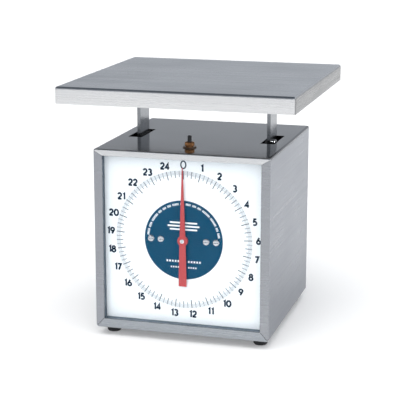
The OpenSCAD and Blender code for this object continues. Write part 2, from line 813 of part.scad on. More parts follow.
housing_wrap();
top_cover();
rear_cover();
rear_cover_screws();
lens();
lens_gasket();
lens_clips();
dial_plate();
dial_screws();
dial_spacers();
base_plate();
foot_front_left();
foot_front_right();
foot_rear_left();
foot_rear_right();
foot_screws();
front_frame();
rear_frame();
frame_screws();
pinion_bridge();
bridge_screws();
front_bush();
rear_bush();
rack_guide();
fulcrum_shafts();
fulcrum_clips();
dashpot_cylinder();
dashpot_cap();
overload_stops();
zero_washer();
main_spring_left();
main_spring_right();
platform_pan();
platform_spider();
platform_pads();
platform_nuts();
post_left();
post_right();
post_foot_screws();
post_screws();
carriage_plate_left();
carriage_plate_right();
carriage_bridge();
spring_bar();
carriage_screws();
carriage_shafts();
carriage_clips();
rack();
rack_pin();
dashpot_rod();
dashpot_piston();
pinion_shaft();
pointer();
pointer_nut();
upper_check_link();
lower_check_link();
zero_nut();
zero_stud();
spring_hanger();
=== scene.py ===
"""Looks, light and camera for the mechanical dial platform scale. Metres, +Z up, front towards -Y."""
import math
import random

import bmesh
import bpy
from mathutils import Matrix, Vector


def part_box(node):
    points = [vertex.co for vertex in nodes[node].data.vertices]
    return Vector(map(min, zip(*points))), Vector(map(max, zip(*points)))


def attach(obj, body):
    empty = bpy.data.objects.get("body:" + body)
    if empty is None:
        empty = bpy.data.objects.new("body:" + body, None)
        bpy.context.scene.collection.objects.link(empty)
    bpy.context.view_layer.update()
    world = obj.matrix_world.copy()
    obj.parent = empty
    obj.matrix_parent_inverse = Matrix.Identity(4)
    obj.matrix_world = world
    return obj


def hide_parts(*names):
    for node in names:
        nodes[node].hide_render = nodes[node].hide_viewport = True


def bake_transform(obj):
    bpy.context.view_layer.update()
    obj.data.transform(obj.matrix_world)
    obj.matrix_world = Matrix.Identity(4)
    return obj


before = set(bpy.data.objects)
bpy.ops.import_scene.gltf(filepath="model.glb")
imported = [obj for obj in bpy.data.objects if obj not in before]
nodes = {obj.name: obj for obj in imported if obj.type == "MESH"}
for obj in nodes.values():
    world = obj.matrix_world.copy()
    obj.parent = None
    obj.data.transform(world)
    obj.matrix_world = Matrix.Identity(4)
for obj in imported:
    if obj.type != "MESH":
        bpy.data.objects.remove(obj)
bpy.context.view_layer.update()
random.seed(7)
MM = 0.001

# ------------------------------------------------------------------ sizes

WALL_LOW, WALL_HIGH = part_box("housing_wrap")
TOP_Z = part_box("top_cover")[1].z
FRONT_Y = WALL_LOW.y
HALF_W = WALL_HIGH.x
BOTTOM_Z = WALL_LOW.z
WINDOW_X = 0.107
WINDOW_LOW = BOTTOM_Z + 0.013
WINDOW_HIGH = TOP_Z - 0.009
DIAL_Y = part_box("dial_plate")[0].y
DIAL_Z = (WINDOW_LOW + WINDOW_HIGH) / 2 + 0.0012
SHEET_T = 0.0012
POINTER_LOW, POINTER_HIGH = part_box("pointer")
STUD_Y = -0.079
DIAL_SCREW_X = (-0.0445, -0.031, 0.031, 0.0445)

# ------------------------------------------------------------------ materials


class Mat:
    """A small helper that builds one procedural material."""

    def __init__(self, name, base=(0.8, 0.8, 0.8), metal=0.0, rough=0.5):
        self.mat = bpy.data.materials.new(name)
        self.mat.use_nodes = True
        self.tree = self.mat.node_tree
        self.tree.nodes.clear()
        self.out = self.new("ShaderNodeOutputMaterial")
        self.shader = self.new("ShaderNodeBsdfPrincipled")
        self.shader.inputs["Base Color"].default_value = (*base, 1)
        self.shader.inputs["Metallic"].default_value = metal
        self.shader.inputs["Roughness"].default_value = rough
        self.join(self.shader.outputs[0], self.out.inputs["Surface"])
        self.coord = self.new("ShaderNodeTexCoord").outputs["Object"]

    def new(self, kind, **settings):
        node = self.tree.nodes.new(kind)
        for key, value in settings.items():
            setattr(node, key, value)
        return node

    def join(self, a, b):
        self.tree.links.new(a, b)

    def math(self, op, a, b=0.0):
        node = self.new("ShaderNodeMath", operation=op)
        for i, v in enumerate((a, b)):
            if isinstance(v, (int, float)):
                node.inputs[i].default_value = v
            else:
                self.join(v, node.inputs[i])
        return node.outputs[0]

    def noise(self, scale, detail=3.0, rough=0.5, vector=None):
        """Noise whose scale differs along x, y and z, in cells a metre."""
        mapping = self.new("ShaderNodeMapping")
        mapping.inputs["Scale"].default_value = scale
        self.join(vector or self.coord, mapping.inputs["Vector"])
        node = self.new("ShaderNodeTexNoise")
        node.inputs["Scale"].default_value = 1.0
        node.inputs["Detail"].default_value = detail
        node.inputs["Roughness"].default_value = rough
        self.join(mapping.outputs[0], node.inputs["Vector"])
        return node.outputs["Fac"]

    def span(self, value, low, high, source=(0.3, 0.7)):
        """Maps the middle of a noise onto low to high."""
        node = self.new("ShaderNodeMapRange")
        node.inputs["From Min"].default_value = source[0]
        node.inputs["From Max"].default_value = source[1]
        node.inputs["To Min"].default_value = low
        node.inputs["To Max"].default_value = high
        self.join(value, node.inputs["Value"])
        return node.outputs[0]

    def colour(self, value, a, b):
        node = self.new("ShaderNodeMix", data_type="RGBA")
        node.inputs["A"].default_value = (*a, 1)
        node.inputs["B"].default_value = (*b, 1)
        self.join(value, node.inputs["Factor"])
        self.join(node.outputs["Result"], self.shader.inputs["Base Color"])
        return node.outputs["Result"]

    def bump(self, height, strength, depth):
        node = self.new("ShaderNodeBump")
        node.inputs["Strength"].default_value = strength
        node.inputs["Distance"].default_value = depth
        self.join(height, node.inputs["Height"])
        self.join(node.outputs[0], self.shader.inputs["Normal"])

    def grain(self, along=3.0, across=900.0):
        """Coordinates stretched along X on flat tops and fronts, and along Y on the sides."""
        split = self.new("ShaderNodeSeparateXYZ")
        self.join(self.coord, split.inputs[0])
        normal = self.new("ShaderNodeSeparateXYZ")
        self.join(self.new("ShaderNodeNewGeometry").outputs["Normal"], normal.inputs[0])
        level = self.math("GREATER_THAN", self.math("ABSOLUTE", normal.outputs[2]), 0.7)
        scale_y = self.math("ADD", self.math("MULTIPLY", level, across - along), along)
        joined = self.new("ShaderNodeCombineXYZ")
        self.join(self.math("MULTIPLY", split.outputs[0], along), joined.inputs[0])
        self.join(self.math("MULTIPLY", split.outputs[1], scale_y), joined.inputs[1])
        self.join(self.math("MULTIPLY", split.outputs[2], across), joined.inputs[2])
        return joined.outputs[0]


def brushed(name, base, rough, streak=0.08, across=900.0, tint=0.06, side=1.0):
    """Stainless sheet with a fine straight grain. Side scales down the base colour of the faces that look
    left and right, whose grain runs front to back: a painted shade.
    """
    m = Mat(name, base, 1.0, rough)
    fine = m.noise((1, 1, 1), 2.0, 0.6, m.grain(4.0, across))
    broad = m.noise((1, 1, 1), 3.0, 0.6, m.grain(1.5, across / 9))
    cloud = m.noise((9, 9, 9), 3.0)
    mixed = m.math("ADD", m.math("MULTIPLY", fine, 0.6), m.math("MULTIPLY", broad, 0.4))
    dark = tuple(c * (1 - tint) for c in base)
    pale = tuple(min(1.0, c * (1 + tint)) for c in base)
    tone = m.colour(m.span(mixed, 0.0, 1.0, (0.35, 0.65)), dark, pale)
    # Painted shade: the base colour of faces that look left or right is scaled down towards side.
    if side != 1.0:
        normal = m.new("ShaderNodeSeparateXYZ")
        m.join(m.new("ShaderNodeNewGeometry").outputs["Normal"], normal.inputs[0])
        turned = m.span(m.math("ABSOLUTE", normal.outputs[0]), 1.0, side, (0.6, 0.95))
        scaled = m.new("ShaderNodeVectorMath", operation="SCALE")
        m.join(tone, scaled.inputs[0])
        m.join(turned, scaled.inputs["Scale"])
        m.join(scaled.outputs[0], m.shader.inputs["Base Color"])
    rough_map = m.math("ADD", m.span(mixed, rough - streak, rough + streak),
                       m.span(cloud, -0.02, 0.03))
    m.join(rough_map, m.shader.inputs["Roughness"])
    m.bump(fine, 0.12, 0.0002)
    return m.mat


def metal(name, base, rough, spots=60.0, bump=0.05, tint=0.08):
    """Turned, plated or ground metal with a slight mottle."""
    m = Mat(name, base, 1.0, rough)
    mottle = m.noise((spots, spots, spots), 4.0)
    m.colour(m.span(mottle, 0.0, 1.0), tuple(c * (1 - tint) for c in base),
             tuple(min(1.0, c * (1 + tint)) for c in base))
    m.join(m.span(m.noise((spots * 5,) * 3, 2.0), rough * 0.8, rough * 1.25), m.shader.inputs["Roughness"])
    m.bump(m.noise((spots * 20,) * 3, 2.0), bump, 0.0002)
    return m.mat


def coating(name, base, rough, spots=40.0, bump=0.08, tint=0.08, coat=0.0, shine=0.5):
    """Paint, rubber or plastic with a fine texture."""
    m = Mat(name, base, 0.0, rough)
    mottle = m.noise((spots, spots, spots), 3.0)
    m.colour(m.span(mottle, 0.0, 1.0), tuple(c * (1 - tint) for c in base),
             tuple(min(1.0, c * (1 + tint)) for c in base))
    m.join(m.span(m.noise((spots * 4,) * 3, 2.0), rough * 0.9, min(1.0, rough * 1.1)),
           m.shader.inputs["Roughness"])
    m.bump(m.noise((spots * 30,) * 3, 2.0), bump, 0.0002)
    m.shader.inputs["Coat Weight"].default_value = coat
    m.shader.inputs["Specular IOR Level"].default_value = shine
    return m.mat


def clear_sheet(name):
    """A thin clear pane: light goes straight through, with a faint mirror image on top."""
    m = Mat(name)
    clear = m.new("ShaderNodeBsdfTransparent")
    clear.inputs[0].default_value = (0.985, 0.995, 1.0, 1)
    gloss = m.new("ShaderNodeBsdfGlossy")
    m.join(m.span(m.noise((30, 30, 30), 2.0), 0.01, 0.05), gloss.inputs["Roughness"])
    fresnel = m.new("ShaderNodeFresnel")
    fresnel.inputs["IOR"].default_value = 1.45
    mix = m.new("ShaderNodeMixShader")
    m.join(m.math("MULTIPLY", fresnel.outputs[0], 0.15), mix.inputs[0])
    m.join(clear.outputs[0], mix.inputs[1])
    m.join(gloss.outputs[0], mix.inputs[2])
    m.join(mix.outputs[0], m.out.inputs["Surface"])
    return m.mat


# Painted light and shade: the housing's sheet, its top and the four bars of its bezel are one steel, given
# base colours that differ with the light and shade each face gets. The top's very dark base colour paints
# the shade under the platform, and the top bar's pale one paints light.
SHEET = brushed("sheet_brushed", (0.200, 0.214, 0.246), 0.30, 0.05, 900.0, 0.035)
# Painted shade: the side argument darkens the faces that look left and right, on the pan and on the top bar.
PAN = brushed("pan_brushed", (0.63, 0.63, 0.635), 0.28, 0.06, 700.0, 0.07, 0.26)
# Painted shade: the pan's underside has a dark base colour for the shade under the platform, which the
# housing's top mirrors.
PAN_UNDER_SHADE = brushed("pan_underside_shade", (0.26, 0.245, 0.23), 0.45, 0.05, 500.0, 0.06)
TOP = brushed("top_polished", (0.112, 0.111, 0.115), 0.13, 0.03, 1100.0, 0.05)
BAR_TOP = brushed("bar_top", (0.58, 0.585, 0.595), 0.26, 0.05, 900.0, 0.06, 0.6)
BAR_LEFT = brushed("bar_left", (0.30, 0.31, 0.335), 0.24, 0.05, 900.0)
BAR_RIGHT = brushed("bar_right", (0.31, 0.32, 0.34), 0.26, 0.05, 900.0)
BAR_LOW = brushed("bar_low", (0.325, 0.345, 0.37), 0.26, 0.05, 900.0)
POST = brushed("post_bar", (0.225, 0.235, 0.25), 0.20, 0.05, 900.0)
ZINC = metal("zinc_plate", (0.42, 0.43, 0.45), 0.36, 45.0)
BRIGHT = metal("bright_screw", (0.88, 0.88, 0.89), 0.20, 90.0)
SHAFT = metal("ground_shaft", (0.62, 0.62, 0.64), 0.2, 80.0)
SPRING = metal("spring_steel", (0.20, 0.20, 0.215), 0.34, 120.0)
BRASS = metal("brass_turned", (0.62, 0.40, 0.17), 0.26, 80.0)
NUT = metal("nut_brass", (0.50, 0.25, 0.11), 0.26, 220.0, 0.15, 0.25)
SCREW = metal("screw_face", (0.62, 0.63, 0.65), 0.24, 90.0)
WASHER = metal("washer_dull", (0.20, 0.13, 0.09), 0.30, 150.0, 0.1, 0.2)
STUD = metal("stud_oiled", (0.22, 0.22, 0.23), 0.30, 150.0, 0.1, 0.15)
ALUMINIUM = metal("drawn_aluminium", (0.60, 0.61, 0.62), 0.30, 70.0)
# Painted shade: the carriage plates are near black, so that the post slots beside them look dark inside.
SLOT_SHADE = coating("slot_shade_black", (0.020, 0.021, 0.023), 0.55)
SEAM = coating("seam_shadow", (0.015, 0.018, 0.022), 0.7)
RUBBER = coating("black_rubber", (0.014, 0.014, 0.016), 0.75, 90.0, 0.25, 0.2)
GASKET = coating("gasket_rubber", (0.10, 0.13, 0.16), 0.7, 60.0, 0.2, 0.1)
WHITE = coating("dial_enamel", (0.93, 0.95, 0.965), 0.32, 25.0, 0.02, 0.012)
PLASTIC = coating("pale_plastic", (0.72, 0.69, 0.6), 0.45)
BLACK_PLASTIC = coating("black_plastic", (0.03, 0.03, 0.032), 0.4)
RED = coating("pointer_red", (0.46, 0.048, 0.052), 0.42, 60.0, 0.04, 0.06, 0.1)
BLUE = coating("dial_blue", (0.002, 0.060, 0.125), 0.6, 90.0, 0.04, 0.06, 0.0, 0.1)
INK = coating("dial_ink", (0.004, 0.022, 0.048), 0.6, 90.0, 0.02, 0.15, 0.0, 0.1)
GREY_INK = coating("dial_grey_ink", (0.17, 0.195, 0.23), 0.6, 90.0, 0.02, 0.15, 0.0, 0.1)
WHITE_INK = coating("dial_white_ink", (0.90, 0.92, 0.94), 0.45, 90.0, 0.02, 0.03)
PANE = clear_sheet("clear_pane")

# ------------------------------------------------------------------ mesh helpers


def finish_mesh(name, bm, material, body, replaces=(), smooth=40.0):
    """Turns a bmesh into an object that rides on a body."""
    bmesh.ops.recalc_face_normals(bm, faces=bm.faces)
    mesh = bpy.data.meshes.new(name)
    bm.to_mesh(mesh)
    bm.free()
    obj = bpy.data.objects.new(name, mesh)
    bpy.context.scene.collection.objects.link(obj)
    mesh.materials.append(material)
    shade(obj, smooth)
    if body:
        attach(obj, body)
    if replaces:
        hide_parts(*replaces)
    return obj


def shade(obj, angle):
    mesh = obj.data
    mesh.polygons.foreach_set("use_smooth", [True] * len(mesh.polygons))
    mesh.set_sharp_from_angle(angle=math.radians(angle))


def lathe(bm, profile, steps=64, matrix=Matrix.Identity(4)):
    """Turns a list of (radius, height) about Z. A radius of zero closes the end."""
    rings = []
    for r, z in profile:
        if r < 1e-7:
            rings.append([bm.verts.new(matrix @ Vector((0, 0, z)))])
        else:
            rings.append([bm.verts.new(matrix @ Vector((r * math.cos(2 * math.pi * i / steps),
                                                        r * math.sin(2 * math.pi * i / steps), z)))
                          for i in range(steps)])
    for a, b in zip(rings, rings[1:]):
        for i in range(steps):
            j = (i + 1) % steps
            loop = [a[i % len(a)], a[j % len(a)], b[j % len(b)], b[i % len(b)]]
            unique = list(dict.fromkeys(loop))
            if len(unique) > 2:
                bm.faces.new(unique)


def facing_front(x, y, z):
    """A matrix whose +Z points out of the dial, towards the reader."""
    return Matrix.Translation((x, y, z)) @ Matrix.Rotation(math.radians(90), 4, "X")


def prism_y(bm, points, y0, y1):
    """A flat (x, z) outline given depth from y0 to y1."""
    front = [bm.verts.new((x, y0, z)) for x, z in points]
    back = [bm.verts.new((x, y1, z)) for x, z in points]
    bm.faces.new(front)
    bm.faces.new(back[::-1])
    for i in range(len(points)):
        j = (i + 1) % len(points)
        bm.faces.new((front[i], back[i], back[j], front[j]))


def ribbon(bm, line, width, y, centre=(0.0, 0.0), scale=1.0):
    """A stroke of even width along (x, z) points, laid flat at depth y."""
    pts = [Vector((centre[0] + p[0] * scale, centre[1] + p[1] * scale)) for p in line]
    left, right = [], []
    for i, p in enumerate(pts):
        before = (p - pts[i - 1]).normalized() if i else (pts[1] - p).normalized()
        after = (pts[i + 1] - p).normalized() if i < len(pts) - 1 else before
        side = Vector((-before.y - after.y, before.x + after.x))
        side = side.normalized() * width / 2 / max(0.5, side.length / 2)
        left.append(bm.verts.new((p.x + side.x, y, p.y + side.y)))
        right.append(bm.verts.new((p.x - side.x, y, p.y - side.y)))
    for i in range(len(pts) - 1):
        bm.faces.new((left[i], left[i + 1], right[i + 1], right[i]))


def arc(cx, cz, rx, rz, start, end, steps=14):
    """Points on an ellipse from start to end, in degrees."""
    return [(cx + rx * math.cos(math.radians(start + (end - start) * i / steps)),
             cz + rz * math.sin(math.radians(start + (end - start) * i / steps)))
            for i in range(steps + 1)]


# ------------------------------------------------------------------ plain CAD pieces

PLAIN = {
    ZINC: ["lens_clips", "base_plate", "front_frame", "rear_frame", "frame_screws", "foot_screws",
           "overload_stops", "platform_spider", "upper_check_link", "lower_check_link",
           "carriage_bridge", "spring_bar", "spring_hanger", "platform_nuts", "bridge_screws",
           "carriage_screws"],
    WASHER: ["zero_washer"],
    # The carriage plates carry the slots' painted shade.
    SLOT_SHADE: ["carriage_plate_left", "carriage_plate_right"],
    SPRING: ["fulcrum_clips", "carriage_clips"],
    POST: ["post_left", "post_right"],
    BRASS: ["dial_spacers", "pinion_bridge", "front_bush", "rear_bush", "rack", "dashpot_piston"],
    SHAFT: ["fulcrum_shafts", "carriage_shafts", "rack_pin", "dashpot_rod", "pinion_shaft"],
    ALUMINIUM: ["dashpot_cylinder"],
    BLACK_PLASTIC: ["dashpot_cap"],
    PLASTIC: ["rack_guide"],
    RUBBER: ["platform_pads"],
    GASKET: ["lens_gasket"],
    WHITE: ["dial_plate"],
    PANE: ["lens"],
    SHEET: ["rear_cover"],
    BRIGHT: ["post_foot_screws", "rear_cover_screws"],
}
BEVEL = {"base_plate": 0.4, "front_frame": 0.4, "rear_frame": 0.4, "platform_spider": 0.5,
         "carriage_bridge": 0.4, "spring_bar": 0.4, "spring_hanger": 0.4, "post_left": 0.5,
         "post_right": 0.5, "carriage_plate_left": 0.3, "carriage_plate_right": 0.3,
         "rear_cover": 0.3, "lens_clips": 0.2,
         "pinion_bridge": 0.2, "zero_washer": 0.15, "rack_guide": 0.3}


def dress(obj, material, bevel=0.0):
    """Gives a CAD piece its material, smooth curved faces and slightly eased edges."""
    obj.data.materials.clear()
    obj.data.materials.append(material)
    for p in obj.data.polygons:
        p.material_index = 0
    shade(obj, 30.0)
    if bevel:
        ease = obj.modifiers.new("ease", "BEVEL")
        ease.width = bevel * MM
        ease.segments = 2
        ease.limit_method = "ANGLE"
        ease.angle_limit = math.radians(50)
        ease.harden_normals = False


for material, names in PLAIN.items():
    for name in names:
        dress(nodes[name], material, BEVEL.get(name, 0.0))

def fold(obj, thickness):
    """Gives a folded sheet its thickness, and even shading on its big flat faces."""
    thick = obj.modifiers.new("sheet", "SOLIDIFY")
    thick.thickness = thickness
    thick.offset = -1.0
    even = obj.modifiers.new("even", "WEIGHTED_NORMAL")
    even.keep_sharp = True
    even.weight = 100
    return thick


# ------------------------------------------------------------------ housing

# BEND is the outer bend round the front, LIP the bend into the window. CORNERS holds the side of x, the side
# of z, the radius and the first angle of each corner of the housing, anticlockwise from the top right.
BEND = 0.0018
LIP = 0.0009
CORNERS = ((1, 1, 0.003, 0), (-1, 1, 0.003, 90), (-1, -1, 0.004, 180), (1, -1, 0.004, 270))
SLOT_X = (0.083, 0.1025)
SLOT_Y = (-0.029, 0.034)
STUD_HOLE = 0.0036
WRAP_GAP = 0.0004
TOP_X = [SLOT_X[1], SLOT_X[0], STUD_HOLE, -STUD_HOLE, -SLOT_X[0], -SLOT_X[1]]
CORNER_STEPS = 6


def housing_outline(inset):
    """The housing seen from the front, pulled in by inset, from the right wall anticlockwise."""
    points = []
    for sx, sz, r, start in CORNERS:
        soft = max(r - inset, 0.0)
        cx = sx * (HALF_W - inset - soft)
        cz = TOP_Z - inset - soft if sz > 0 else BOTTOM_Z + inset + soft
        for k in range(CORNER_STEPS + 1):
            a = math.radians(start + 90 * k / CORNER_STEPS)
            points.append((cx + soft * math.cos(a), cz + soft * math.sin(a)))
        if sx > 0 and sz > 0:
            points += [(x, TOP_Z - inset) for x in TOP_X]
    return points


def window_outline(grow):
    """The window's edge, with as many points as the housing's outline."""
    points = []
    for sx, sz, _, _ in CORNERS:
        z = WINDOW_HIGH + grow if sz > 0 else WINDOW_LOW - grow
        points += [(sx * (WINDOW_X + grow), z)] * (CORNER_STEPS + 1)
        if sx > 0 and sz > 0:
            points += [(x, z) for x in TOP_X]
    return points


def housing_rows():
    """Outlines and depths from the front window's edge round the bends to the rear window's edge."""
    turn = [math.radians(a) for a in range(0, 91, 15)]
    front = [(window_outline(0), FRONT_Y + SHEET_T)]
    front += [(window_outline(LIP * (1 - math.cos(t))), FRONT_Y + LIP * (1 - math.sin(t))) for t in turn]
    front += [(housing_outline(BEND * (1 - math.sin(t))), FRONT_Y + BEND * (1 - math.cos(t))) for t in turn]
    back = [(outline, -y) for outline, y in front[::-1]]
    stops = [STUD_Y - STUD_HOLE, STUD_Y + STUD_HOLE, SLOT_Y[0], SLOT_Y[1]]
    return front + [(housing_outline(0), y) for y in stops] + back, len(front)


def cut_out(x0, x1, y0, y1):
    """True for the cells of the top that are open: the two post slots and the stud's hole."""
    x, y = abs(x0 + x1) / 2, (y0 + y1) / 2
    in_slot = SLOT_X[0] < x < SLOT_X[1] and SLOT_Y[0] < y < SLOT_Y[1]
    return in_slot or (x < STUD_HOLE and abs(y - STUD_Y) < STUD_HOLE)


def build_sheet(name, pick, drop, materials, slot_of):
    """One folded sheet: pick chooses the columns of the outline, slot_of each face's material."""
    rows, front_count = housing_rows()
    grid, bm = [], bmesh.new()
    for outline, y in rows:
        grid.append([bm.verts.new((outline[i][0], y, outline[i][1] - drop)) if i in pick else None
                     for i in range(len(outline))])
    count = len(rows[0][0])
    for r in range(len(rows) - 1):
        for i in range(count):
            j = (i + 1) % count
            if i not in pick or j not in pick:
                continue
            a, b = rows[r][0][i], rows[r][0][j]
            on_top = min(a[1], b[1]) > TOP_Z - 1e-5
            if on_top and cut_out(a[0], b[0], rows[r][1], rows[r + 1][1]):
                continue
            face = bm.faces.new((grid[r][i], grid[r][j], grid[r + 1][j], grid[r + 1][i]))
            face.material_index = slot_of(i, r < front_count - 1)
    bmesh.ops.remove_doubles(bm, verts=bm.verts, dist=1e-6)
    bmesh.ops.recalc_face_normals(bm, faces=bm.faces)
    middle = Vector((0, 0, (TOP_Z + BOTTOM_Z) / 2))
    if sum((f.calc_center_median() - middle).dot(f.normal) * f.calc_area() for f in bm.faces) < 0:
        bmesh.ops.reverse_faces(bm, faces=bm.faces)
    mesh = bpy.data.meshes.new(name)
    bm.to_mesh(mesh)
    bm.free()
    obj = bpy.data.objects.new(name, mesh)
    bpy.context.scene.collection.objects.link(obj)
    for material in materials:
        mesh.materials.append(material)
    shade(obj, 32.0)
    fold(obj, SHEET_T)
    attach(obj, "case")
    return obj


def build_housing():
    n = CORNER_STEPS + 1
    top_end = n + len(TOP_X) + n
    total = top_end + 2 * n
    top = set(range(top_end))
    wrap = set(range(top_end - 1, total)) | {0}

    def wrap_slot(i, front):
        if not front:
            return 0
        if i == top_end - 1 or i < top_end + n // 2:
            return 1
        return 2 if i < top_end + n + n // 2 else 3

    # The bezel's bars take lit and shaded copies of the sheet's steel: painted light and shade.
    obj = build_sheet("housing_sheet", wrap, WRAP_GAP, [SHEET, BAR_LEFT, BAR_LOW, BAR_RIGHT], wrap_slot)
    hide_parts("housing_wrap")
    # The top takes a darkened copy as painted shade, and its front bar a lightened copy as painted light.
    obj = build_sheet("top_sheet", top, 0.0, [TOP, BAR_TOP], lambda i, front: int(front))
    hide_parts("top_cover")


def build_mitre_seams():
    """The thin weld seams where the bezel's bars meet at its lower corners, drawn as strips of painted
    shadow.
    """
    half_width, proud, stop = 0.00028, 0.00004, 0.0024
    bm = bmesh.new()
    for side in (-1, 1):
        inner = Vector((side * (WINDOW_X + LIP), 0, WINDOW_LOW - LIP))
        outer = Vector((side * (HALF_W - stop), 0, BOTTOM_Z + stop))
        across = (outer - inner).cross(Vector((0, 1, 0))).normalized() * half_width
        corners = [inner - across, inner + across, outer + across, outer - across]
        bm.faces.new([bm.verts.new((p.x, FRONT_Y - proud, p.z)) for p in corners])
    finish_mesh("mitre_seams", bm, SEAM, "case")


build_housing()
build_mitre_seams()

# ------------------------------------------------------------------ platform

PAN_T = 0.0015
PAN_BEND = 0.0034
PAN_CORNER = 0.0040
PAN_STUDS = (0.120, 0.100)
PAN_STUD_R = 0.0025


def pan_ring(bm, half_x, half_y, corner, z):
    """A rounded rectangle of vertices at height z."""
    ring = []
    for sx, sy, start in ((1, 1, 0), (-1, 1, 90), (-1, -1, 180), (1, -1, 270)):
        for k in range(CORNER_STEPS + 1):
            a = math.radians(start + 90 * k / CORNER_STEPS)
            ring.append(bm.verts.new((sx * (half_x - corner) + corner * math.cos(a),
                                      sy * (half_y - corner) + corner * math.sin(a), z)))
    return ring


def build_pan():
    """The pan's folded sheet with its soft bends, and the four studs under it."""
    low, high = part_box("platform_pan")
    bm = bmesh.new()
    rings = [pan_ring(bm, high.x, high.y, PAN_CORNER, low.z)]
    for t in (math.radians(a) for a in range(0, 91, 15)):
        inset = PAN_BEND * (1 - math.cos(t))
        z = high.z - PAN_BEND * (1 - math.sin(t))
        rings.append(pan_ring(bm, high.x - inset, high.y - inset, PAN_CORNER - inset, z))
    for a, b in zip(rings, rings[1:]):
        for k in range(len(a)):
            j = (k + 1) % len(a)
            bm.faces.new((a[k], a[j], b[j], b[k]))
    bm.faces.new(rings[-1])
    obj = finish_mesh("pan_sheet", bm, PAN, "carriage", ["platform_pan"], 32.0)
    # The pan's inner face takes the second material, the underside's painted shade.
    fold(obj, PAN_T).material_offset = 1
    obj.data.materials.append(PAN_UNDER_SHADE)
    studs = bmesh.new()
    stud_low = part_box("platform_nuts")[0].z - 0.0020
    stud_top = high.z - 0.0014
    profile = [(0, stud_low), (PAN_STUD_R - 0.0004, stud_low), (PAN_STUD_R, stud_low + 0.0006),
               (PAN_STUD_R, stud_top), (0, stud_top)]
    for sx in (-1, 1):
        for sy in (-1, 1):
            lathe(studs, profile, 32, Matrix.Translation((sx * PAN_STUDS[0], sy * PAN_STUDS[1], 0)))
    finish_mesh("pan_studs", studs, ZINC, "carriage", ["platform_pan"], 35.0)


build_pan()

# ------------------------------------------------------------------ dial printing

# Layers of print lie a little proud of the plate: the disc, then the scale, then the marks on the disc
DISC_Y = DIAL_Y - 0.00010
PRINT_Y = DIAL_Y - 0.00012
MARKS_Y = DIAL_Y - 0.00022
NUMBERS = 25
NUMBER_R = 0.1012
TICKS_PER_NUMBER = 16
TICK_R = 0.0930
DISC_R = 0.0535
DISC_HOLE_R = 0.0052
DASH_R = (0.0473, 0.0502)
DASH_END = 84.0
# Each character's strokes, in units of its height
STROKES = {
    "0": [arc(0.36, 0.5, 0.30, 0.44, 90, 450, 24)],
    "1": [[(0.10, 0.78), (0.30, 0.93), (0.30, 0.0)]],
    "2": [arc(0.30, 0.68, 0.24, 0.26, 170, -35, 14) + [(0.03, 0.055)], [(0.0, 0.055), (0.58, 0.055)]],
    "3": [arc(0.27, 0.715, 0.21, 0.225, 150, -90, 12), arc(0.27, 0.275, 0.25, 0.23, 90, -150, 14)],
    "4": [[(0.43, 0.0), (0.43, 0.93), (0.04, 0.27), (0.62, 0.27)]],
    "5": [[(0.52, 0.94), (0.17, 0.94), (0.10, 0.56)] + arc(0.26, 0.31, 0.27, 0.27, 125, -140, 14)],
    "6": [arc(0.33, 0.30, 0.26, 0.25, 90, 450, 20), [(0.09, 0.38), (0.42, 0.98)]],
    "7": [[(0.0, 0.94), (0.50, 0.94), (0.16, 0.0)]],
    "8": [arc(0.30, 0.72, 0.20, 0.21, 90, 450, 18), arc(0.30, 0.27, 0.26, 0.24, 90, 450, 20)],
    "9": [arc(0.33, 0.68, 0.26, 0.25, 90, 450, 20), [(0.57, 0.60), (0.24, 0.0)]],
}
ADVANCE = {"1": 0.52, "0": 0.86, "7": 0.70}


def add_number(bm, text, x, z, height, weight):
    """Writes a number centred on x, z with upright strokes."""
    total = sum(ADVANCE.get(c, 0.76) for c in text) - 0.14
    cursor = x - total * height / 2
    for c in text:
        for line in STROKES[c]:
            ribbon(bm, line, weight, PRINT_Y, (cursor, z - height / 2), height)
        cursor += ADVANCE.get(c, 0.76) * height


def around(angle, radius):
    """The (x, z) place on the dial at an angle in degrees clockwise from the top."""
    a = math.radians(angle)
    return radius * math.sin(a), DIAL_Z + radius * math.cos(a)


def add_tick(bm, angle, r0, r1, width, y=PRINT_Y):
    """A short radial line from radius r0 to r1."""
    a = math.radians(angle)
    out, side = Vector((math.sin(a), math.cos(a))), Vector((math.cos(a), -math.sin(a))) * width / 2
    corners = [out * r0 - side, out * r0 + side, out * r1 + side, out * r1 - side]
    bm.faces.new([bm.verts.new((p.x, y, DIAL_Z + p.y)) for p in corners])


def build_numbers():
    """The numbers round the dial; 0 is larger and lighter than the rest."""
    numbers = bmesh.new()
    for i in range(NUMBERS):
        x, z = around(i * 360 / NUMBERS, NUMBER_R)
        tall = 0.0112 if i == 0 else 0.0088
        add_number(numbers, str(i), x, z, tall, 0.00165 if i == 0 else 0.00240)
    finish_mesh("dial_numbers", numbers, INK, "case")


def build_ticks():
    """The divisions: bold at each number, and longer at each half and quarter."""
    bold, fine = bmesh.new(), bmesh.new()
    total = NUMBERS * TICKS_PER_NUMBER
    for i in range(total):
        angle = i * 360 / total
        if i % TICKS_PER_NUMBER == 0:
            add_tick(bold, angle, TICK_R - 0.0112, TICK_R, 0.00100)
        elif i % (TICKS_PER_NUMBER // 2) == 0:
            add_tick(fine, angle, TICK_R - 0.0092, TICK_R, 0.00110)
        elif i % (TICKS_PER_NUMBER // 4) == 0:
            add_tick(fine, angle, TICK_R - 0.0080, TICK_R, 0.00085)
        else:
            add_tick(fine, angle, TICK_R - 0.0056, TICK_R, 0.00036)
    finish_mesh("dial_ticks_bold", bold, INK, "case")
    finish_mesh("dial_ticks_fine", fine, GREY_INK, "case")


def build_disc():
    disc = bmesh.new()
    lathe(disc, [(DISC_HOLE_R, 0), (DISC_R, 0)], 160, facing_front(0, DISC_Y, DIAL_Z))
    finish_mesh("dial_disc", disc, BLUE, "case")


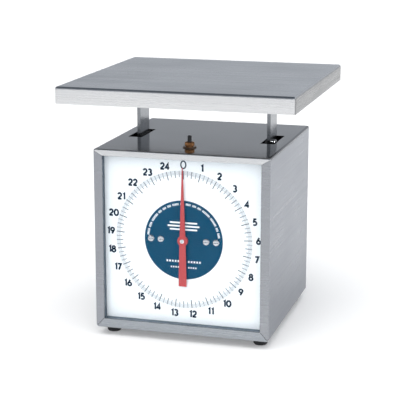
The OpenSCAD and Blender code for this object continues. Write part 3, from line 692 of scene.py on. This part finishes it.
def add_dash_ring(bm):
    """A ring of plain dashes in word-like groups."""
    angle = -DASH_END
    while angle < DASH_END:
        count = random.choice((3, 4, 5, 7))
        for _ in range(count):
            if angle < DASH_END:
                add_tick(bm, angle, *DASH_R, 0.0011, MARKS_Y)
            angle += 2.1
        angle += 2.4


def add_emblem(bm, gap=0.0022, weight=0.0022):
    """A plain three-bar emblem above the hub, with a gap for the pointer."""
    for side in (-1, 1):
        for length, z in ((0.0165, 0.0235), (0.0195, 0.0190), (0.0165, 0.0145)):
            line = [(side * gap, DIAL_Z + z), (side * (gap + length), DIAL_Z + z)]
            ribbon(bm, line, weight, MARKS_Y)


def add_dash_rows(bm, start=0.0072, gap=0.0010):
    """Two rows of plain dashes below the hub."""
    for z, count, size in ((-0.0290, 5, 0.0028), (-0.0370, 4, 0.0022)):
        for side in (-1, 1):
            for k in range(count):
                x = side * (start + k * (size + gap))
                ribbon(bm, [(x, DIAL_Z + z - size / 2), (x, DIAL_Z + z + size / 2)], size * 0.72, MARKS_Y)


def build_marks():
    marks = bmesh.new()
    add_dash_ring(marks)
    add_emblem(marks)
    add_dash_rows(marks)
    finish_mesh("dial_marks", marks, WHITE_INK, "case")


build_numbers()
build_ticks()
build_disc()
build_marks()

# ------------------------------------------------------------------ pointer


def build_pointer():
    """The flat blade with its hub, and the bright cap over the shaft's end."""
    blade = bmesh.new()
    tip, tail = POINTER_HIGH.z, POINTER_LOW.z
    outline = [(-0.0040, DIAL_Z), (-0.00055, tip), (0.00055, tip), (0.0040, DIAL_Z),
               (0.0055, tail), (-0.0055, tail)]
    prism_y(blade, outline, POINTER_LOW.y + 0.0004, POINTER_LOW.y + 0.0012)
    hub = [(0.0021, 0), (0.0070, 0), (0.0070, 0.0026), (0.0066, 0.0030), (0.0036, 0.0030),
           (0.0034, 0.0027), (0.0021, 0.0027), (0.0021, 0)]
    lathe(blade, hub, 72, facing_front(0, POINTER_HIGH.y, DIAL_Z))
    finish_mesh("pointer_blade", blade, RED, "pointer", ["pointer"], 35.0)
    cap = bmesh.new()
    ring = [(0.0021, 0), (0.0030, 0), (0.0030, 0.0012), (0.0027, 0.0017), (0.0021, 0.0018), (0.0021, 0)]
    lathe(cap, ring, 48, facing_front(0, POINTER_LOW.y, DIAL_Z))
    finish_mesh("pointer_cap", cap, BRIGHT, "pointer", ["pointer_nut"], 35.0)


build_pointer()

# ------------------------------------------------------------------ screws


HEAD_STEPS = 25
DOME_END = 70


def add_slotted_head(bm, at, radius, height, slot, dome=0.35):
    """A slotted screw head on +Z of the matrix: a base disc and the two domed halves beside the slot."""
    floor = height * 0.2
    lathe(bm, [(0, 0), (radius, 0), (radius, floor), (0, floor)], 48, at)
    profile = [(1.0, floor - 0.0001)]
    for t in (math.radians(a) for a in range(0, DOME_END + 1, 10)):
        rise = dome * math.sin(t) / math.sin(math.radians(DOME_END))
        profile.append((math.cos(t), height * (1 - dome + rise)))
    edge = math.asin(slot / 2 / radius)
    for side in (-1, 1):
        rings = []
        for shrink, z in profile:
            ring = []
            for k in range(HEAD_STEPS):
                a = edge + (math.pi - 2 * edge) * k / (HEAD_STEPS - 1)
                x, y = radius * shrink * math.cos(a), side * max(slot / 2, radius * shrink * math.sin(a))
                ring.append(bm.verts.new(at @ Vector((x, y, z))))
            rings.append(ring)
        for a, b in zip(rings, rings[1:]):
            for k in range(HEAD_STEPS):
                j = (k + 1) % HEAD_STEPS
                bm.faces.new((a[k], a[j], b[j], b[k]))
        bm.faces.new(rings[0])
        bm.faces.new(rings[-1])


def add_shank(bm, at, radius, length):
    """The plain shank under a head, on -Z of the matrix."""
    lathe(bm, [(0, -length), (radius, -length), (radius, 0.0001), (0, 0.0001)], 32, at)


def build_dial_screws():
    low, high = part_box("dial_screws")
    bm = bmesh.new()
    for x in DIAL_SCREW_X:
        at = facing_front(x, DIAL_Y, DIAL_Z)
        add_slotted_head(bm, at, 0.0043, DIAL_Y - low.y, 0.0019)
        add_shank(bm, at, 0.0024, high.y - DIAL_Y)
    finish_mesh("dial_screw_heads", bm, SCREW, "case", ["dial_screws"], 35.0)


def build_post_screws():
    """Two screws through each post, with their heads on its outer face."""
    post_face, post_y = 0.0938, 0.004
    bm = bmesh.new()
    for side in (-1, 1):
        outwards = Matrix.Rotation(math.radians(90 * side), 4, "Y")
        for z in (TOP_Z - 0.003, TOP_Z - 0.049):
            turn = outwards @ Matrix.Rotation(math.radians(35), 4, "Z")
            at = Matrix.Translation((side * post_face, post_y, z)) @ turn
            add_slotted_head(bm, at, 0.0036, 0.0044, 0.0009, 0.75)
            add_shank(bm, at, 0.002, 0.0083)
    finish_mesh("post_screw_heads", bm, BRIGHT, "carriage", ["post_screws"], 35.0)


build_dial_screws()
build_post_screws()

# ------------------------------------------------------------------ springs

SPRING_X = 0.038
HANGER_DROP = 0.028
BAR_RISE = 0.046
COIL_STEPS = 20
HOOK_STEPS = 12
WIRE_STEPS = 8


def build_spring(side):
    """A true helix with half hooks, which runs between the case and the carriage."""
    coil, wire, x, y = 0.007, 0.0014, side * SPRING_X, STUD_Y
    top, low = TOP_Z - HANGER_DROP - coil, BOTTOM_Z + BAR_RISE + coil
    pitch = 2.08 * wire
    turns = math.floor((top - low) / pitch)
    path = []
    for i in range(HOOK_STEPS + 1):
        a = math.pi * i / HOOK_STEPS
        path.append(Vector((x, y - coil * math.cos(a), low - coil * math.sin(a))))
    path = path[::-1]
    steps = turns * COIL_STEPS
    start = math.atan2(path[-1].y - y, 0.0)
    for i in range(1, steps):
        a = start + 2 * math.pi * i / COIL_STEPS
        path.append(Vector((x + coil * math.cos(a), y + coil * math.sin(a), low + (top - low) * i / steps)))
    last_side = (path[-1].y - y) / max(1e-6, abs(path[-1].y - y))
    for i in range(HOOK_STEPS + 1):
        a = math.pi * i / HOOK_STEPS
        path.append(Vector((x, y + last_side * coil * math.cos(a), top + coil * math.sin(a))))
    bm = bmesh.new()
    rings = []
    for i, p in enumerate(path):
        along = (path[min(i + 1, len(path) - 1)] - path[max(i - 1, 0)]).normalized()
        side_dir = along.cross(Vector((1, 0, 0)) if abs(along.x) < 0.9 else Vector((0, 0, 1))).normalized()
        if rings:
            side_dir = (last - along * last.dot(along)).normalized()
        last = side_dir
        up = along.cross(side_dir)
        rings.append([bm.verts.new(p + wire * (side_dir * math.cos(t) + up * math.sin(t)))
                      for t in (2 * math.pi * k / WIRE_STEPS for k in range(WIRE_STEPS))])
    for a, b in zip(rings, rings[1:]):
        for k in range(WIRE_STEPS):
            j = (k + 1) % WIRE_STEPS
            bm.faces.new((a[k], a[j], b[j], b[k]))
    bm.faces.new(rings[0])
    bm.faces.new(rings[-1])
    name = "main_spring_left" if side < 0 else "main_spring_right"
    obj = finish_mesh(name + "_coil", bm, SPRING, None, (), 60.0)
    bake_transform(obj)
    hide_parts(name)


for spring_side in (-1, 1):
    build_spring(spring_side)

# ------------------------------------------------------------------ zero adjuster


def build_zero_stud():
    """The stud with its real thread, drawn as a radius that winds up round it."""
    low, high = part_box("zero_stud")
    bm = bmesh.new()
    pitch, depth, radius, steps, rows_per_turn = 0.001, 0.00055, 0.0030, 24, 8
    rows = int((high.z - low.z - 0.001) / pitch * rows_per_turn)
    rings = []
    for i in range(rows + 1):
        z = low.z + (high.z - low.z - 0.0006) * i / rows
        ring = []
        for k in range(steps):
            phase = (z / pitch - k / steps) % 1.0
            r = radius - depth * abs(2 * phase - 1)
            a = 2 * math.pi * k / steps
            ring.append(bm.verts.new((r * math.cos(a), STUD_Y + r * math.sin(a), z)))
        rings.append(ring)
    bm.faces.new(rings[0])
    rings.append([bm.verts.new((0.6 * v.co.x, STUD_Y + 0.6 * (v.co.y - STUD_Y), high.z)) for v in rings[-1]])
    for a, b in zip(rings, rings[1:]):
        for k in range(steps):
            j = (k + 1) % steps
            bm.faces.new((a[k], a[j], b[j], b[k]))
    bm.faces.new(rings[-1])
    finish_mesh("zero_stud_thread", bm, STUD, "hanger", ["zero_stud"], 45.0)


def build_zero_nut():
    """The knurled nut: every other vertex of its widest rings is pulled in."""
    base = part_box("zero_nut")[0].z
    bm = bmesh.new()
    steps, knurl, bore = 96, 0.00028, 0.00306
    outline = [(bore, 0.0), (0.0050, 0.0), (0.0050, 0.0010), (0.0060, 0.0012), (0.0064, 0.0017),
               (0.0064, 0.0052), (0.0058, 0.0060), (0.0048, 0.0064), (0.0034, 0.0064), (bore, 0.0060),
               (bore, 0.0)]
    rings = []
    for radius, z in outline:
        ring = []
        for k in range(steps):
            a = 2 * math.pi * k / steps
            r = radius - knurl if radius > 0.0062 and k % 2 else radius
            ring.append(bm.verts.new((r * math.cos(a), STUD_Y + r * math.sin(a), base + z)))
        rings.append(ring)
    for a, b in zip(rings, rings[1:]):
        for k in range(steps):
            j = (k + 1) % steps
            bm.faces.new((a[k], a[j], b[j], b[k]))
    bmesh.ops.remove_doubles(bm, verts=bm.verts, dist=1e-7)
    finish_mesh("zero_nut_knurled", bm, NUT, "zero_nut", ["zero_nut"], 25.0)


build_zero_stud()
build_zero_nut()

# ------------------------------------------------------------------ feet


def build_foot(name):
    """A rubber foot with a recess for its screw's head."""
    low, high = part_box(name)
    x, y, r, tall = (low.x + high.x) / 2, (low.y + high.y) / 2, (high.x - low.x) / 2, high.z
    recess = [(0.0026, 0.0040), (0.0050, 0.0040), (0.0050, 0.0)]
    wall = [(r - 0.0024, 0.0), (r - 0.0012, 0.0004), (r - 0.0003, 0.0014), (r, 0.0026), (r, tall - 0.0014),
            (r - 0.0004, tall - 0.0004), (r - 0.0010, tall), (0.0026, tall)]
    bm = bmesh.new()
    lathe(bm, recess + wall + recess[:1], 64, Matrix.Translation((x, y, 0)))
    finish_mesh(name + "_rubber", bm, RUBBER, "case", [name], 35.0)


for foot in ("foot_front_left", "foot_front_right", "foot_rear_left", "foot_rear_right"):
    build_foot(foot)

# ------------------------------------------------------------------ floor, light and camera


def build_stage():
    """A light table: the floor glows a little, so that the shadows stay soft and pale."""
    floor = bmesh.new()
    bmesh.ops.create_grid(floor, x_segments=1, y_segments=1, size=8.0)
    m = Mat("studio_floor", (0.79, 0.79, 0.79), 0.0, 0.6)
    m.colour(m.span(m.noise((1.5, 1.5, 1.5), 2.0), 0.0, 1.0), (0.78, 0.78, 0.78), (0.80, 0.80, 0.80))
    m.shader.inputs["Emission Color"].default_value = (1.0, 1.0, 1.0, 1)
    m.shader.inputs["Emission Strength"].default_value = 0.20
    obj = finish_mesh("studio_floor", floor, m.mat, None)


def build_world():
    """White where the camera looks at it; darker overhead and to the left in every reflection."""
    world = bpy.data.worlds.new("studio")
    bpy.context.scene.world = world
    world.use_nodes = True
    tree = world.node_tree
    plain = tree.nodes["Background"]
    plain.inputs["Color"].default_value = (1.0, 1.0, 1.0, 1)
    room = tree.nodes.new("ShaderNodeBackground")
    coord = tree.nodes.new("ShaderNodeTexCoord")
    split = tree.nodes.new("ShaderNodeSeparateXYZ")
    tree.links.new(coord.outputs["Generated"], split.inputs[0])
    ramp = tree.nodes.new("ShaderNodeValToRGB")
    ramp.color_ramp.elements[0].position = 0.0
    ramp.color_ramp.elements[0].color = (0.86, 0.90, 0.96, 1)
    ramp.color_ramp.elements[1].position = 1.0
    ramp.color_ramp.elements[1].color = (0.10, 0.12, 0.15, 1)
    for place, colour in ((0.22, (0.66, 0.70, 0.76, 1)), (0.5, (0.26, 0.29, 0.33, 1))):
        ramp.color_ramp.elements.new(place).color = colour
    tree.links.new(split.outputs[2], ramp.inputs[0])
    side = tree.nodes.new("ShaderNodeMapRange")
    side.inputs["From Min"].default_value = -0.8
    side.inputs["From Max"].default_value = 0.4
    side.inputs["To Min"].default_value = 0.62
    side.inputs["To Max"].default_value = 1.05
    tree.links.new(split.outputs[0], side.inputs["Value"])
    tree.links.new(side.outputs[0], room.inputs["Strength"])
    tree.links.new(ramp.outputs[0], room.inputs["Color"])
    path = tree.nodes.new("ShaderNodeLightPath")
    mix = tree.nodes.new("ShaderNodeMixShader")
    tree.links.new(path.outputs["Is Camera Ray"], mix.inputs[0])
    tree.links.new(room.outputs[0], mix.inputs[1])
    tree.links.new(plain.outputs[0], mix.inputs[2])
    tree.links.new(mix.outputs[0], tree.nodes["World Output"].inputs["Surface"])


def add_sun(name, towards, energy, spread):
    """Soft even light that metal does not mirror."""
    sun = bpy.data.lights.new(name, "SUN")
    sun.energy = energy
    sun.angle = math.radians(spread)
    sun.color = (1.0, 0.99, 0.975)
    obj = bpy.data.objects.new(name, sun)
    bpy.context.scene.collection.objects.link(obj)
    obj.rotation_euler = Vector(towards).to_track_quat("-Z", "Y").to_euler()
    obj.visible_glossy = False


def add_softbox(name, place, size, energy):
    """A square light that faces the scale and that the camera does not see."""
    data = bpy.data.lights.new(name, "AREA")
    data.size = size
    data.energy = energy
    obj = bpy.data.objects.new(name, data)
    bpy.context.scene.collection.objects.link(obj)
    obj.location = place
    obj.rotation_euler = (Vector((0, 0, 0.25)) - obj.location).to_track_quat("-Z", "Y").to_euler()
    obj.visible_camera = False
    return obj


def build_light():
    """A rim light behind, a glint that only the bright round heads see, and three soft suns."""
    add_softbox("rim_box", (1.7, 1.75, 1.1), 0.8, 6.0)
    glint = add_softbox("glint_box", (0.95, -1.9, 0.72), 0.35, 26.0)
    heads = bpy.data.collections.new("glint_heads")
    for name in ("post_screw_heads", "pointer_cap"):
        heads.objects.link(bpy.data.objects[name])
    glint.light_linking.receiver_collection = heads
    add_sun("key_left", (0.14, 0.45, -1.2), 1.95, 60)
    add_sun("key_right", (-0.36, 0.35, -1.2), 1.35, 70)
    add_sun("front_fill", (0.05, 1.0, -0.42), 1.0, 40)


def build_camera():
    data = bpy.data.cameras.new("camera")
    data.lens = 119.0
    data.sensor_width = 36.0
    data.clip_start, data.clip_end = 0.05, 30.0
    cam = bpy.data.objects.new("camera", data)
    bpy.context.scene.collection.objects.link(cam)
    yaw, pitch = math.radians(16.01), math.radians(13.44)
    cam.location = (0.483, -1.713, 0.592)
    forward = Vector((-math.sin(yaw) * math.cos(pitch), math.cos(yaw) * math.cos(pitch), -math.sin(pitch)))
    cam.rotation_euler = forward.to_track_quat("-Z", "Y").to_euler()
    bpy.context.scene.camera = cam


build_stage()
build_world()
build_light()
build_camera()
bpy.context.scene.view_settings.view_transform = "Standard"
